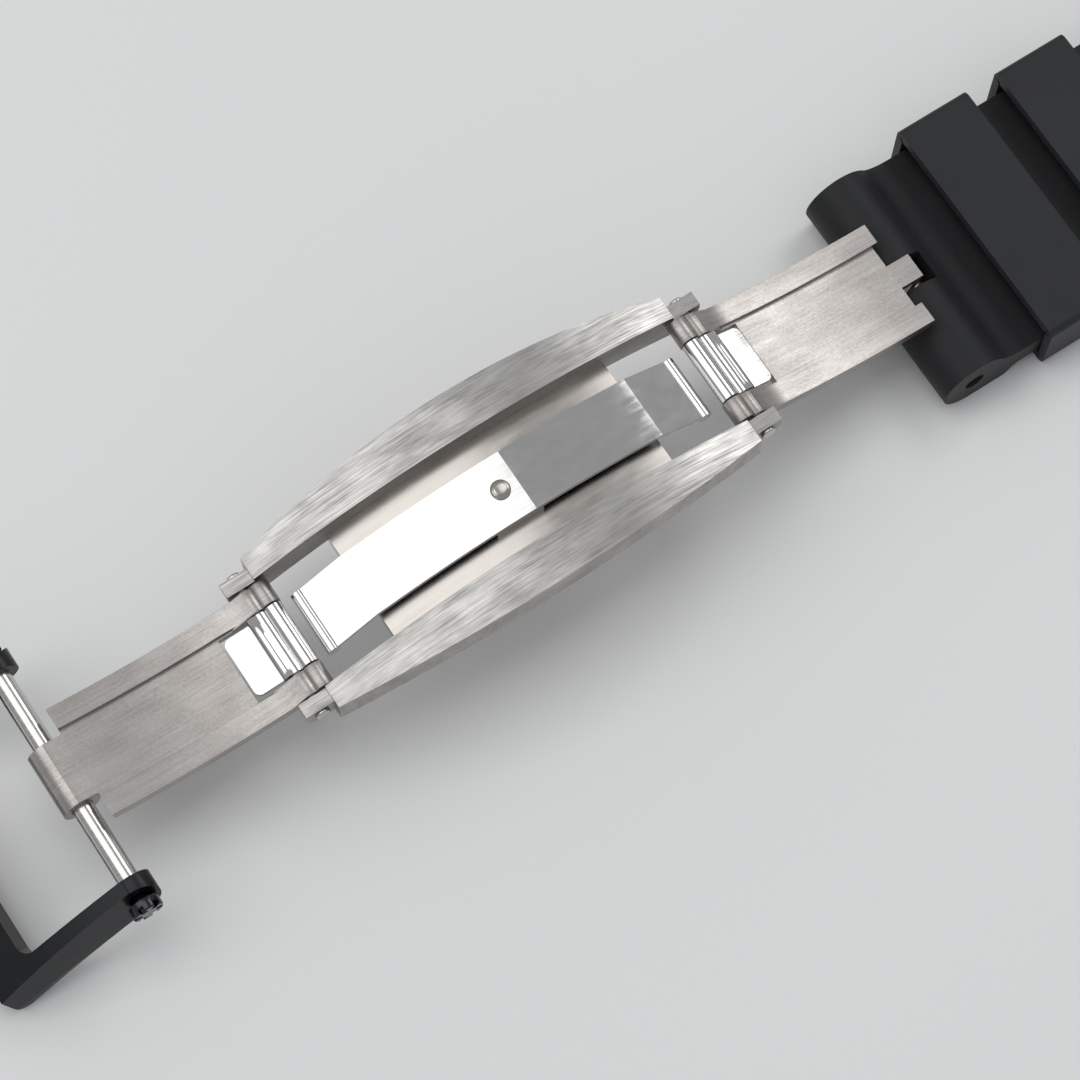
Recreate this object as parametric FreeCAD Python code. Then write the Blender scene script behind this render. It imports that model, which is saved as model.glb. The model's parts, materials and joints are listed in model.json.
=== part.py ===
import FreeCAD, Part
import math
import os

# Folding clasp of a dive watch, with its buckle and the strap half that carries the keepers.
# All lengths are in millimetres. X runs along the strap, Y across it, Z up from the table.
# The clasp lies open, standing on the strap and on the buckle's crossbar.

# Centre frame
PIN_SPAN = 43.0            # between the two hinge pins
RAIL_R = 64.0              # arch of the rail tops
PIN_DEPTH = 1.131          # hinge pin axis below the rail top beside it
FLOOR_DROP = 2.3           # floor top below the rail top
FRAME_DEPTH = 3.5          # rail top to the face on the wrist
RAIL_W = 3.9               # at the middle
RAIL_END_W = 2.1
RAIL_END_GAP = 1.2         # rail end to pin axis
FLOOR_END_GAP = 8.1        # floor end to pin axis
FRAME_CHAMFER = 0.6
LUG_W = 1.3
LUG_R = 1.35               # lug below the pin axis
LUG_TOP = 0.95             # flat top above the pin axis
LUG_REACH = 1.4            # lug end past the pin axis
PEDESTAL_HALF_L = 2.2      # step under the leaf spring

# Leaf spring and its rivet
LEAF_DROP = 0.9            # leaf top below the rail top
LEAF_T = 0.5
LEAF_HALF_W = 2.88
LEAF_FACET_GAP = 7.8       # bend to pin axis
LEAF_END_GAP = 3.9         # end of the flat part to pin axis
LEAF_END_DROP = 1.8        # fall of the bent end
LEAF_CURL_R = 0.6
LEAF_CURL_REACH = 0.35     # curl's middle past the flat part
LEAF_CURL_DROP = 0.65      # curl's middle below the flat part's top
RIVET_HEAD_R = 0.85
RIVET_HEAD_H = 0.3
RIVET_R = 0.5

# Hinge pins and fits
PIN_R = 0.55
PIN_HEAD_R = 0.68
PIN_HEAD_H = 0.35
FIT = 0.03                 # radial clearance of pins and rivets

# Arms
ARM_HALF_W = 5.15
ARM_SIDE_GAP = 0.2         # arm to rails
ARM_T = 1.2
ARM_RELIEF = 0.5           # depth of the shallow channel
ARM_CHANNEL_HALF_W = 3.24
ARM_GAP = 0.15             # channel face to leaf, folded
ARM_L = 18.3               # hinge to the ends of the side strips
ARM_SHOULDER_L = 18.0      # hinge to the shoulder beside the right tab
ARM_WINDOW_L = 3.8
ARM_WINDOW_HALF_W = 3.05
KNUCKLE_R = 0.92
NOSE_X = -1.25             # rounded nose on each side of the arm, past the pin
NOSE_Z = 0.15
NOSE_R = 0.95
RAMP_L = 2.4               # knuckle down to the strip

# Cams that press on the leaf
CAM_HALF_W = 2.92
CAM_CORE_R = 0.88
CAM_ROLLS = ((-1.3, 0.25, 0.85), (0.62, 0.38, 0.55))    # x, z and radius of each roll
TONGUE_END = 3.65
TONGUE_HALF_W = 2.75
TONGUE_T = 0.5
TONGUE_CORNER_R = 0.6

# Left arm's loop and the buckle bar
BUCKLE_BAR_R = 0.93
LOOP_T = 0.7
LOOP_HALF_W = 2.85
LOOP_X = 20.0              # bar axis, from the hinge along the arm

# Right arm's hook and the strap pin
HOOK_HALF_W = 1.15
HOOK_X = 20.9              # pin axis, from the hinge along the arm
HOOK_R = 1.5
HOOK_TAB_L = 20.1          # hinge to the outside of the tab's downward leg
STRAP_PIN_R = 0.9
STRAP_PIN_INSET = 0.3      # pin end inside the strap's side
BOSS_R = 3.1               # rounded end of the strap
BOSS_CLEAR = 0.25          # boss to rail tops, folded

# Buckle frame
BUCKLE_INNER_HALF_W = 10.0
BUCKLE_TOP_HALF_W = 11.2
BUCKLE_FOOT_HALF_W = 12.2
BUCKLE_OPEN_L = 10.6       # bar axis to the crossbar
BUCKLE_L = 14.4            # bar axis to the far face
BUCKLE_UP = 1.7            # outer face above the bar axis
BUCKLE_DOWN = 1.9          # side arms below the bar axis
CROSSBAR_DOWN = 0.6        # crossbar below the bar axis
BUCKLE_ARCH_R = 66.0
BUCKLE_CORNER_R = 1.2
BUCKLE_NOSE_R = 1.7
BUCKLE_FOOT_R = 1.0
BAR_HALF_L = 11.0
SCREW_HEAD_R = 1.35
SCREW_HEAD_L = 0.95
SCREW_SHANK_R = 0.55
SCREW_REACH = 2.9
SCREW_NOTCHES = 6
SCREW_NOTCH_W = 0.55
SCREW_NOTCH_D = 0.45

# Strap
STRAP_HALF_W = 10.3
STRAP_FLARE = 0.7          # wider on each side at the case
STRAP_L = 72.0             # clasp pin to case bar
STRAP_UNDER = 1.2          # underside above the table, where the keepers run
STRAP_TOP = 3.7
STRAP_RUN_END = 44.0       # end of the keepers' run
CASE_BOSS_R = 2.7
NOTCH_HALF_W = 1.4
NOTCH_END = 2.1

# Keepers
KEEPER_L = 7.0
KEEPER_SLACK = 0.2         # loop to strap side
KEEPER_H = 6.3
KEEPER_WALL = 1.0
KEEPER_SIDE = 0.8
KEEPER_R = 0.7
FIRST_KEEPER_X = 6.8       # near edge, from the strap pin
SECOND_KEEPER_X = 17.0

# Case spring bar
CASE_TUBE_R = 0.9
CASE_TUBE_BORE_R = 0.77
CASE_TUBE_INSET = 0.5      # tube end inside the strap's side
CASE_TUBE_CAP = 0.3
TIP_R = 0.4
TIP_L = 1.2                # beyond the strap's side
SHOULDER_R = 0.6           # behind the tip, flush with the strap's side
PISTON_R = 0.74
PISTON_L = 2.2
CASE_SPRING_R = 0.7
CASE_SPRING_BORE_R = 0.45

# How it lies
PITCH = 2.6                # frame, left end down
LEFT_DROOP = 2.7           # left arm below the frame's tangent
RIGHT_DROOP = 21.6

# Reach of cutting solids
FAR = 40.0

HALF_SPAN = PIN_SPAN / 2
ARC_Z = PIN_DEPTH - math.sqrt(RAIL_R ** 2 - HALF_SPAN ** 2)
RAIL_HALF_L = HALF_SPAN - RAIL_END_GAP
FLOOR_HALF_L = HALF_SPAN - FLOOR_END_GAP
LEAF_FACET_X = HALF_SPAN - LEAF_FACET_GAP
LEAF_END_X = HALF_SPAN - LEAF_END_GAP
CHANNEL_HALF_W = ARM_HALF_W + ARM_SIDE_GAP
FRAME_HALF_W = CHANNEL_HALF_W + RAIL_W
FRAME_END_HALF_W = CHANNEL_HALF_W + RAIL_END_W
LUG_HALF_W = CHANNEL_HALF_W + LUG_W
STRAP_PIN_HALF_L = STRAP_HALF_W - STRAP_PIN_INSET
STRAP_CASE_HALF_W = STRAP_HALF_W + STRAP_FLARE
KEEPER_HALF_W = STRAP_HALF_W + KEEPER_SLACK + KEEPER_SIDE
CASE_TUBE_HALF_L = STRAP_CASE_HALF_W - CASE_TUBE_INSET
PIN_ARC_R = math.hypot(HALF_SPAN, ARC_Z)
FLOOR_R = RAIL_R - FLOOR_DROP
UNDER_R = RAIL_R - FRAME_DEPTH
LEAF_R = RAIL_R - LEAF_DROP
CHANNEL_R = LEAF_R + ARM_GAP
STRIP_R = CHANNEL_R - ARM_RELIEF
ARM_OUT_R = STRIP_R + ARM_T
LOOP_R = BUCKLE_BAR_R + FIT + LOOP_T
LOOP_Z = PIN_ARC_R - math.sqrt((CHANNEL_R + LOOP_R) ** 2 - LOOP_X ** 2)
HOOK_Z = PIN_ARC_R - math.sqrt((RAIL_R + BOSS_R + BOSS_CLEAR) ** 2 - HOOK_X ** 2)


def vec(x, y, z):
    """Return a point or direction."""
    return FreeCAD.Vector(x, y, z)


def block(x0, x1, y0, y1, z0, z1):
    """Make a box from its limits."""
    return Part.makeBox(x1 - x0, y1 - y0, z1 - z0, vec(x0, y0, z0))


def rod(x, z, r, y0, y1):
    """Make a cylinder along Y."""
    return Part.makeCylinder(r, y1 - y0, vec(x, y0, z), vec(0, 1, 0))


def shell(r_in, r_out, z, x0, x1, half_w, side):
    """Make a curved plate about an axis at height z, above (side 1) or below (side -1) it."""
    ring = rod(0, z, r_out, -half_w, half_w).cut(rod(0, z, r_in, -FAR, FAR))
    if side > 0:
        ring.rotate(vec(0, 0, z), vec(0, 1, 0), 180)
    low = z if side > 0 else z - r_out - 1
    return ring.common(block(x0, x1, -FAR, FAR, low, low + r_out + 1))


def plan_solid(points, z0, z1):
    """Extrude a closed plan of (x, y) points."""
    ring = [vec(x, y, z0) for x, y in points]
    wire = Part.makePolygon(ring + ring[:1])
    return Part.Face(wire).extrude(vec(0, 0, z1 - z0))


def side_solid(points, half_w):
    """Extrude a closed side view of (x, z) points across the part."""
    ring = [vec(x, -half_w, z) for x, z in points]
    wire = Part.makePolygon(ring + ring[:1])
    return Part.Face(wire).extrude(vec(0, 2 * half_w, 0))


def arc_points(cx, cz, r, a0, a1, count):
    """Return points along an arc, angles in degrees."""
    steps = [math.radians(a0 + (a1 - a0) * i / count) for i in range(count + 1)]
    return [(cx + r * math.cos(a), cz + r * math.sin(a)) for a in steps]


def round_edges(solid, radius, test):
    """Fillet the edges whose middle point passes the test."""
    edges = [e for e in solid.Edges if test(e)]
    return solid.makeFillet(radius, edges)


def flipped(solid):
    """Mirror a solid from the right side to the left."""
    return solid.mirror(vec(0, 0, 0), vec(1, 0, 0))


def posed(solid, degrees, x, z):
    """Turn a solid about Y, right end down for positive, and move its origin to (x, z)."""
    out = solid.copy()
    out.rotate(vec(0, 0, 0), vec(0, 1, 0), degrees)
    out.translate(vec(x, 0, z))
    return out


def turned(x, z, degrees):
    """Return (x, z) after the same turn as posed."""
    a = math.radians(degrees)
    return x * math.cos(a) + z * math.sin(a), z * math.cos(a) - x * math.sin(a)


def leaf_plan(half_mid, half_end):
    """Make the frame's plan: two long arcs joined by straight ends."""
    a = vec(-RAIL_HALF_L, -half_end, -FAR)
    b = vec(RAIL_HALF_L, -half_end, -FAR)
    c = vec(RAIL_HALF_L, half_end, -FAR)
    d = vec(-RAIL_HALF_L, half_end, -FAR)
    near = Part.Arc(a, vec(0, -half_mid, -FAR), b).toShape()
    far = Part.Arc(c, vec(0, half_mid, -FAR), d).toShape()
    wire = Part.Wire([near, Part.makeLine(b, c), far, Part.makeLine(d, a)])
    return Part.Face(wire).extrude(vec(0, 0, 2 * FAR))


def centre_frame():
    """Make the arched frame with its rails, floor, windows and hinge lugs."""
    plate = shell(UNDER_R, RAIL_R, ARC_Z, -FAR, FAR, FAR, 1)
    body = plate.common(leaf_plan(FRAME_HALF_W, FRAME_END_HALF_W))
    body = body.cut(shell(FLOOR_R, RAIL_R + 2, ARC_Z, -FAR, FAR, CHANNEL_HALF_W, 1))
    for side in (-1, 1):
        x0, x1 = sorted((side * FLOOR_HALF_L, side * FAR))
        body = body.cut(block(x0, x1, -CHANNEL_HALF_W, CHANNEL_HALF_W, -FAR, FAR))
    edges = [e for e in body.Edges if outer_low_edge(e)]
    body = body.makeChamfer(FRAME_CHAMFER, edges)
    body = body.fuse(shell(FLOOR_R - 0.2, LEAF_R - LEAF_T, ARC_Z,
                           -PEDESTAL_HALF_L, PEDESTAL_HALF_L, LEAF_HALF_W, 1))
    for side in (-1, 1):
        x = side * HALF_SPAN
        for y0, y1 in ((-LUG_HALF_W, -CHANNEL_HALF_W), (CHANNEL_HALF_W, LUG_HALF_W)):
            root_x0, root_x1 = sorted((side * (RAIL_HALF_L - 1), x))
            tip_x0, tip_x1 = sorted((x, x + side * LUG_REACH))
            body = body.fuse(block(root_x0, root_x1, y0, y1, -LUG_R, LUG_TOP))
            body = body.fuse(block(tip_x0, tip_x1, y0, y1, 0, LUG_TOP))
            body = body.fuse(rod(x, 0, LUG_R, y0, y1).cut(block(x - FAR, x + FAR, -FAR, FAR, 0, FAR)))
        body = body.cut(rod(x, 0, PIN_R + FIT, -FAR, FAR))
    body = body.cut(Part.makeCylinder(RIVET_R + FIT, 2 * FAR, vec(0, 0, -FAR)))
    return body.removeSplitter()


def outer_low_edge(edge):
    """Say whether an edge is one of the two long lower outside edges."""
    middle = edge.valueAt((edge.FirstParameter + edge.LastParameter) / 2)
    on_side = abs(middle.y) > FRAME_HALF_W - 0.3
    return on_side and middle.z < UNDER_R + ARC_Z + 0.3 and abs(middle.x) < 1


def leaf_spring():
    """Make the polished leaf: an arched middle with two bent ends that finish in a curl."""
    bottom_r = LEAF_R - LEAF_T
    body = shell(bottom_r, LEAF_R, ARC_Z, -LEAF_FACET_X, LEAF_FACET_X, LEAF_HALF_W, 1)
    top = math.sqrt(LEAF_R ** 2 - LEAF_FACET_X ** 2) + ARC_Z
    low = math.sqrt(bottom_r ** 2 - LEAF_FACET_X ** 2) + ARC_Z
    slope = math.atan2(LEAF_END_DROP, LEAF_END_X - LEAF_FACET_X)
    down_x = -LEAF_T * math.sin(slope)
    down_z = -LEAF_T * math.cos(slope)
    end_z = top - LEAF_END_DROP
    for side in (-1, 1):
        flap = [(LEAF_FACET_X, top), (LEAF_END_X, end_z),
                (LEAF_END_X + down_x, end_z + down_z), (LEAF_FACET_X, low)]
        body = body.fuse(side_solid([(side * x, z) for x, z in flap], LEAF_HALF_W))
        curl_x = LEAF_END_X + LEAF_CURL_REACH
        curl_z = end_z - LEAF_CURL_DROP
        body = body.fuse(rod(side * curl_x, curl_z, LEAF_CURL_R, -LEAF_HALF_W, LEAF_HALF_W))
    body = body.cut(Part.makeCylinder(RIVET_R + FIT, 2 * FAR, vec(0, 0, -FAR)))
    return body.removeSplitter()


def centre_rivet():
    """Make the rivet that holds the leaf to the frame."""
    foot = UNDER_R + ARC_Z
    seat = LEAF_R + ARC_Z
    shank = Part.makeCylinder(RIVET_R, seat - foot, vec(0, 0, foot))
    head = Part.makeCylinder(RIVET_HEAD_R, RIVET_HEAD_H, vec(0, 0, seat))
    head = round_edges(head, RIVET_HEAD_H * 0.6, lambda e: e.BoundBox.ZMin > seat + RIVET_HEAD_H / 2)
    return shank.fuse(head).removeSplitter()


def hinge_pin(side):
    """Make a hinge pin with a domed head at each lug."""
    x = side * HALF_SPAN
    pin = rod(x, 0, PIN_R, -LUG_HALF_W, LUG_HALF_W)
    for end in (-1, 1):
        y0, y1 = sorted((end * LUG_HALF_W, end * (LUG_HALF_W + PIN_HEAD_H)))
        head = rod(x, 0, PIN_HEAD_R, y0, y1)
        half_way = LUG_HALF_W + PIN_HEAD_H / 2
        head = round_edges(head, PIN_HEAD_H * 0.6, lambda e: abs(e.BoundBox.Center.y) > half_way)
        pin = pin.fuse(head)
    return pin.removeSplitter()


def arm_plate():
    """Make the part of an arm that both sides share, hinge at the origin, running to +X."""
    body = shell(STRIP_R, ARM_OUT_R, PIN_ARC_R, 0, ARM_L, ARM_HALF_W, -1)
    body = body.cut(shell(STRIP_R - 2, CHANNEL_R, PIN_ARC_R, -1, FAR, ARM_CHANNEL_HALF_W, -1))
    for side in (-1, 1):
        y0, y1 = sorted((side * ARM_WINDOW_HALF_W, side * ARM_HALF_W))
        body = body.fuse(rod(0, 0, KNUCKLE_R, y0, y1)).fuse(rod(NOSE_X, NOSE_Z, NOSE_R, y0, y1))
        leg = side_solid([(NOSE_X, -NOSE_R / 2), (0, -KNUCKLE_R), (RAMP_L, 0), (0.2, KNUCKLE_R),
                          (NOSE_X, NOSE_R / 2)], FAR)
        body = body.fuse(leg.common(block(-FAR, FAR, y0, y1, -FAR, FAR)))
    body = body.cut(block(-FAR, ARM_WINDOW_L, -ARM_WINDOW_HALF_W, ARM_WINDOW_HALF_W, -FAR, FAR))
    return body.cut(rod(0, 0, PIN_R + FIT, -FAR, FAR))


def left_arm():
    """Make the left arm, whose wide tab loops round the buckle bar."""
    body = arm_plate()
    tab = shell(CHANNEL_R, ARM_OUT_R, PIN_ARC_R, ARM_L - 1, LOOP_X, LOOP_HALF_W, -1)
    body = body.fuse(tab).fuse(rod(LOOP_X, LOOP_Z, LOOP_R, -LOOP_HALF_W, LOOP_HALF_W))
    body = body.cut(rod(LOOP_X, LOOP_Z, BUCKLE_BAR_R + FIT, -FAR, FAR))
    return flipped(body.removeSplitter())


def right_arm():
    """Make the right arm, whose narrow tab hooks the strap pin."""
    body = arm_plate()
    body = body.cut(block(ARM_SHOULDER_L, FAR, -ARM_CHANNEL_HALF_W, ARM_CHANNEL_HALF_W, -FAR, FAR))
    leg_x1 = HOOK_TAB_L
    leg_x0 = leg_x1 - LOOP_T
    tab = shell(CHANNEL_R, ARM_OUT_R, PIN_ARC_R, ARM_SHOULDER_L - 1, leg_x1, HOOK_HALF_W, -1)
    leg_top = PIN_ARC_R - math.sqrt(ARM_OUT_R ** 2 - leg_x0 ** 2)
    leg = block(leg_x0, leg_x1, -HOOK_HALF_W, HOOK_HALF_W, HOOK_Z, leg_top + LOOP_T / 2)
    body = body.fuse(tab).fuse(leg).fuse(rod(HOOK_X, HOOK_Z, HOOK_R, -HOOK_HALF_W, HOOK_HALF_W))
    return body.cut(rod(HOOK_X, HOOK_Z, STRAP_PIN_R + FIT, -FAR, FAR)).removeSplitter()


def cam():
    """Make a cam: a ridged barrel on the hinge pin and a tongue that fills the arm's window."""
    body = rod(0, 0, CAM_CORE_R, -CAM_HALF_W, CAM_HALF_W)
    for x, z, r in CAM_ROLLS:
        body = body.fuse(rod(x, z, r, -CAM_HALF_W, CAM_HALF_W))
    tongue = block(0, TONGUE_END, -TONGUE_HALF_W, TONGUE_HALF_W, -TONGUE_T, 0)
    tongue = round_edges(tongue, TONGUE_CORNER_R, tongue_corner)
    body = body.fuse(tongue)
    return body.cut(rod(0, 0, PIN_R + FIT, -FAR, FAR)).removeSplitter()


def tongue_corner(edge):
    """Say whether an edge is one of the tongue's two upright outer corners."""
    box = edge.BoundBox
    return box.XMin > TONGUE_END - 0.1 and box.ZLength > TONGUE_T / 2


def buckle_frame():
    """Make the buckle's open frame, bar axis at the origin, running to +X."""
    axis_z = BUCKLE_UP - BUCKLE_ARCH_R
    depth = BUCKLE_UP + BUCKLE_DOWN
    body = shell(BUCKLE_ARCH_R - depth, BUCKLE_ARCH_R, axis_z, -BUCKLE_NOSE_R, BUCKLE_L, FAR, 1)
    nose = block(-FAR, 0, -FAR, FAR, -FAR, FAR).cut(rod(0, -0.1, BUCKLE_NOSE_R, -FAR, FAR))
    body = body.cut(nose)
    foot_x = BUCKLE_L - BUCKLE_FOOT_R
    foot_z = axis_z + math.sqrt((BUCKLE_ARCH_R - depth) ** 2 - foot_x ** 2) + BUCKLE_FOOT_R
    corner = block(foot_x, FAR, -FAR, FAR, -FAR, foot_z)
    body = body.cut(corner.cut(rod(foot_x, foot_z, BUCKLE_FOOT_R, -FAR, FAR)))
    sides = [(-BUCKLE_FOOT_HALF_W, -BUCKLE_DOWN - 3), (BUCKLE_FOOT_HALF_W, -BUCKLE_DOWN - 3),
             (BUCKLE_FOOT_HALF_W, -BUCKLE_DOWN), (BUCKLE_TOP_HALF_W, BUCKLE_UP),
             (-BUCKLE_TOP_HALF_W, BUCKLE_UP), (-BUCKLE_FOOT_HALF_W, -BUCKLE_DOWN)]
    ring = [vec(-FAR, y, z) for y, z in sides]
    wedge = Part.Face(Part.makePolygon(ring + ring[:1])).extrude(vec(2 * FAR, 0, 0))
    body = body.common(wedge)
    hole = block(-FAR, BUCKLE_OPEN_L, -BUCKLE_INNER_HALF_W, BUCKLE_INNER_HALF_W, -FAR, FAR)
    hole = round_edges(hole, BUCKLE_CORNER_R, opening_corner)
    body = body.cut(hole)
    under = shell(BUCKLE_ARCH_R - depth - 3, BUCKLE_ARCH_R - BUCKLE_UP - CROSSBAR_DOWN, axis_z,
                  BUCKLE_OPEN_L - 2, FAR, BUCKLE_INNER_HALF_W, 1)
    body = body.cut(under)
    return body.cut(rod(0, 0, BUCKLE_BAR_R + FIT, -FAR, FAR)).removeSplitter()


def opening_corner(edge):
    """Say whether an edge is an upright corner of the buckle's opening at the crossbar."""
    box = edge.BoundBox
    return box.XMin > BUCKLE_OPEN_L - 0.1 and box.ZLength > FAR


def buckle_bar():
    """Make the buckle bar, drilled at both ends for its screws."""
    bar = rod(0, 0, BUCKLE_BAR_R, -BAR_HALF_L, BAR_HALF_L)
    for side in (-1, 1):
        y0, y1 = sorted((side * (BAR_HALF_L - SCREW_REACH - 0.2), side * FAR))
        bar = bar.cut(rod(0, 0, SCREW_SHANK_R + FIT, y0, y1))
    return bar


def buckle_screws():
    """Make the two notched screws that close the ends of the buckle bar."""
    seat = BUCKLE_TOP_HALF_W + (BUCKLE_FOOT_HALF_W - BUCKLE_TOP_HALF_W) * 0.5 + 0.35
    head = rod(0, 0, SCREW_HEAD_R, seat, seat + SCREW_HEAD_L)
    head = round_edges(head, 0.15, lambda e: e.BoundBox.YMin > seat + SCREW_HEAD_L / 2)
    for i in range(SCREW_NOTCHES):
        notch = block(-SCREW_NOTCH_W / 2, SCREW_NOTCH_W / 2, seat + SCREW_HEAD_L - SCREW_NOTCH_D, FAR,
                      SCREW_HEAD_R * 0.5, FAR)
        notch.rotate(vec(0, 0, 0), vec(0, 1, 0), 360.0 * i / SCREW_NOTCHES)
        head = head.cut(notch)
    shank = rod(0, 0, SCREW_SHANK_R, BAR_HALF_L - SCREW_REACH, seat)
    screw = head.fuse(shank).removeSplitter()
    other = screw.mirror(vec(0, 0, 0), vec(0, 1, 0))
    return Part.makeCompound([screw, other])


def strap_plan():
    """Make the strap's plan: parallel under the keepers, wider at the case."""
    right = STRAP_L + CASE_BOSS_R + 1
    flare = STRAP_RUN_END + 12
    far = [(-BOSS_R - 1, STRAP_HALF_W), (STRAP_RUN_END, STRAP_HALF_W),
           (flare, STRAP_CASE_HALF_W), (right, STRAP_CASE_HALF_W)]
    near = [(x, -y) for x, y in reversed(far)]
    return plan_solid(near + far, -1, FAR)


def strap():
    """Make the rubber strap, pin axis at x = 0, lying on z = 0."""
    boss = arc_points(0, BOSS_R, BOSS_R, 35, 270, 24)
    case = arc_points(STRAP_L, CASE_BOSS_R, CASE_BOSS_R, -90, 90, 16)
    end = STRAP_RUN_END
    under = [(3.4, 0), (4.6, STRAP_UNDER), (end + 1, STRAP_UNDER), (end + 4, 0)]
    top = [(end + 14, STRAP_TOP + 1.1), (end + 4, STRAP_TOP + 0.8), (end + 1, STRAP_TOP),
           (6.0, STRAP_TOP), (4.8, STRAP_TOP + 0.12), (3.7, STRAP_TOP + 0.45)]
    body = side_solid(boss + under + case + top, FAR).common(strap_plan())
    body = body.cut(block(-FAR, NOTCH_END, -NOTCH_HALF_W, NOTCH_HALF_W, -FAR, FAR))
    body = body.cut(rod(0, BOSS_R, STRAP_PIN_R + FIT, -FAR, FAR))
    return body.cut(rod(STRAP_L, CASE_BOSS_R, CASE_TUBE_R + FIT, -FAR, FAR)).removeSplitter()


def keeper(x):
    """Make one keeper loop with its near edge at x."""
    outer = block(x, x + KEEPER_L, -KEEPER_HALF_W, KEEPER_HALF_W, 0, KEEPER_H)
    outer = round_edges(outer, KEEPER_R, lambda e: e.BoundBox.XLength > KEEPER_L / 2)
    inner_w = KEEPER_HALF_W - KEEPER_SIDE
    inner = block(x - 1, x + KEEPER_L + 1, -inner_w, inner_w, KEEPER_WALL, KEEPER_H - KEEPER_WALL)
    return outer.cut(inner)


def case_tube():
    """Make the spring bar's tube, closed round each tip."""
    half = CASE_TUBE_HALF_L
    tube = rod(STRAP_L, CASE_BOSS_R, CASE_TUBE_R, -half, half)
    bore_half = half - CASE_TUBE_CAP
    tube = tube.cut(rod(STRAP_L, CASE_BOSS_R, CASE_TUBE_BORE_R, -bore_half, bore_half))
    return tube.cut(rod(STRAP_L, CASE_BOSS_R, SHOULDER_R + FIT, -FAR, FAR))


def case_tip(side):
    """Make one sliding tip with the piston that the spring pushes."""
    stop = CASE_TUBE_HALF_L - CASE_TUBE_CAP
    y0, y1 = sorted((side * (stop - PISTON_L), side * stop))
    piston = rod(STRAP_L, CASE_BOSS_R, PISTON_R, y0, y1)
    y0, y1 = sorted((side * stop, side * STRAP_CASE_HALF_W))
    shoulder = rod(STRAP_L, CASE_BOSS_R, SHOULDER_R, y0, y1)
    y0, y1 = sorted((side * STRAP_CASE_HALF_W, side * (STRAP_CASE_HALF_W + TIP_L)))
    tip = rod(STRAP_L, CASE_BOSS_R, TIP_R, y0, y1)
    return piston.fuse(shoulder).fuse(tip).removeSplitter()


def case_spring():
    """Make a plain sleeve where the tube's coil spring sits."""
    half = CASE_TUBE_HALF_L - CASE_TUBE_CAP - PISTON_L
    sleeve = rod(STRAP_L, CASE_BOSS_R, CASE_SPRING_R, -half, half)
    return sleeve.cut(rod(STRAP_L, CASE_BOSS_R, CASE_SPRING_BORE_R, -FAR, FAR))


def place_all():
    """Build every piece and lay it in the rest position; return the pieces and the joint axes."""
    right_turn = RIGHT_DROOP - PITCH
    dx, dz = turned(HOOK_X, HOOK_Z, right_turn)
    right = (-dx, BOSS_R - dz)
    dx, dz = turned(HALF_SPAN, 0, -PITCH)
    middle = (right[0] - dx, right[1] - dz)
    left = (middle[0] - dx, middle[1] - dz)
    left_turn = -LEFT_DROOP - PITCH
    dx, dz = turned(-LOOP_X, LOOP_Z, left_turn)
    bar = (left[0] + dx, left[1] + dz)
    foot_x = BUCKLE_L - BUCKLE_FOOT_R
    foot_r = BUCKLE_ARCH_R - BUCKLE_UP - BUCKLE_DOWN
    foot_z = BUCKLE_UP - BUCKLE_ARCH_R + math.sqrt(foot_r ** 2 - foot_x ** 2) + BUCKLE_FOOT_R
    reach = math.hypot(foot_x, foot_z)
    drop = math.asin((bar[1] - BUCKLE_FOOT_R) / reach)
    buckle_turn = math.degrees(drop - math.atan2(-foot_z, foot_x))
    on_frame = {
        "centre_frame": centre_frame(),
        "leaf_spring": leaf_spring(),
        "centre_rivet": centre_rivet(),
        "left_hinge_pin": hinge_pin(-1),
        "right_hinge_pin": hinge_pin(1),
    }
    on_left = {"left_arm": left_arm(), "left_cam": flipped(cam())}
    on_right = {"right_arm": right_arm(), "right_cam": cam()}
    on_buckle = {
        "buckle_frame": flipped(buckle_frame()),
        "buckle_bar": buckle_bar(),
        "buckle_screws": buckle_screws(),
    }
    pieces = {}
    for group, turn, at in ((on_frame, -PITCH, middle), (on_left, left_turn, left),
                            (on_right, right_turn, right), (on_buckle, -buckle_turn, bar)):
        for name, solid in group.items():
            pieces[name] = posed(solid, turn, *at)
    pieces["strap"] = strap()
    pieces["strap_pin"] = rod(0, BOSS_R, STRAP_PIN_R, -STRAP_PIN_HALF_L, STRAP_PIN_HALF_L)
    pieces["first_keeper"] = keeper(FIRST_KEEPER_X)
    pieces["second_keeper"] = keeper(SECOND_KEEPER_X)
    pieces["case_bar_tube"] = case_tube()
    pieces["case_bar_spring"] = case_spring()
    pieces["case_bar_far_tip"] = case_tip(1)
    pieces["case_bar_near_tip"] = case_tip(-1)
    axes = {"left_arm_fold": left, "right_arm_fold": right, "buckle_swing": bar,
            "strap_swing": (0.0, BOSS_R), "case_bar": (STRAP_L, CASE_BOSS_R), "frame_middle": middle}
    print("buckle turn", round(buckle_turn, 3))
    return pieces, axes


def write_parts():
    """Centre the part over the table at z = 0, write each piece and print where the axes are."""
    pieces, axes = place_all()
    box = Part.makeCompound(list(pieces.values())).optimalBoundingBox(False, False)
    shift = vec(-(box.XMin + box.XMax) / 2, -(box.YMin + box.YMax) / 2, 0)
    os.makedirs("parts", exist_ok=True)
    for name, solid in pieces.items():
        solid.translate(shift)
        solid.exportStep("parts/" + name + ".step")
        print(name, solid.isValid(), len(solid.Solids), round(solid.Volume, 3))
    for name, (x, z) in axes.items():
        print("axis", name, round(x + shift.x, 4), round(z + shift.z, 4))
    print("size", round(box.XLength, 3), round(box.YLength, 3), round(box.ZMax, 3))
    print("lowest", round(box.ZMin, 4))


write_parts()
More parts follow.
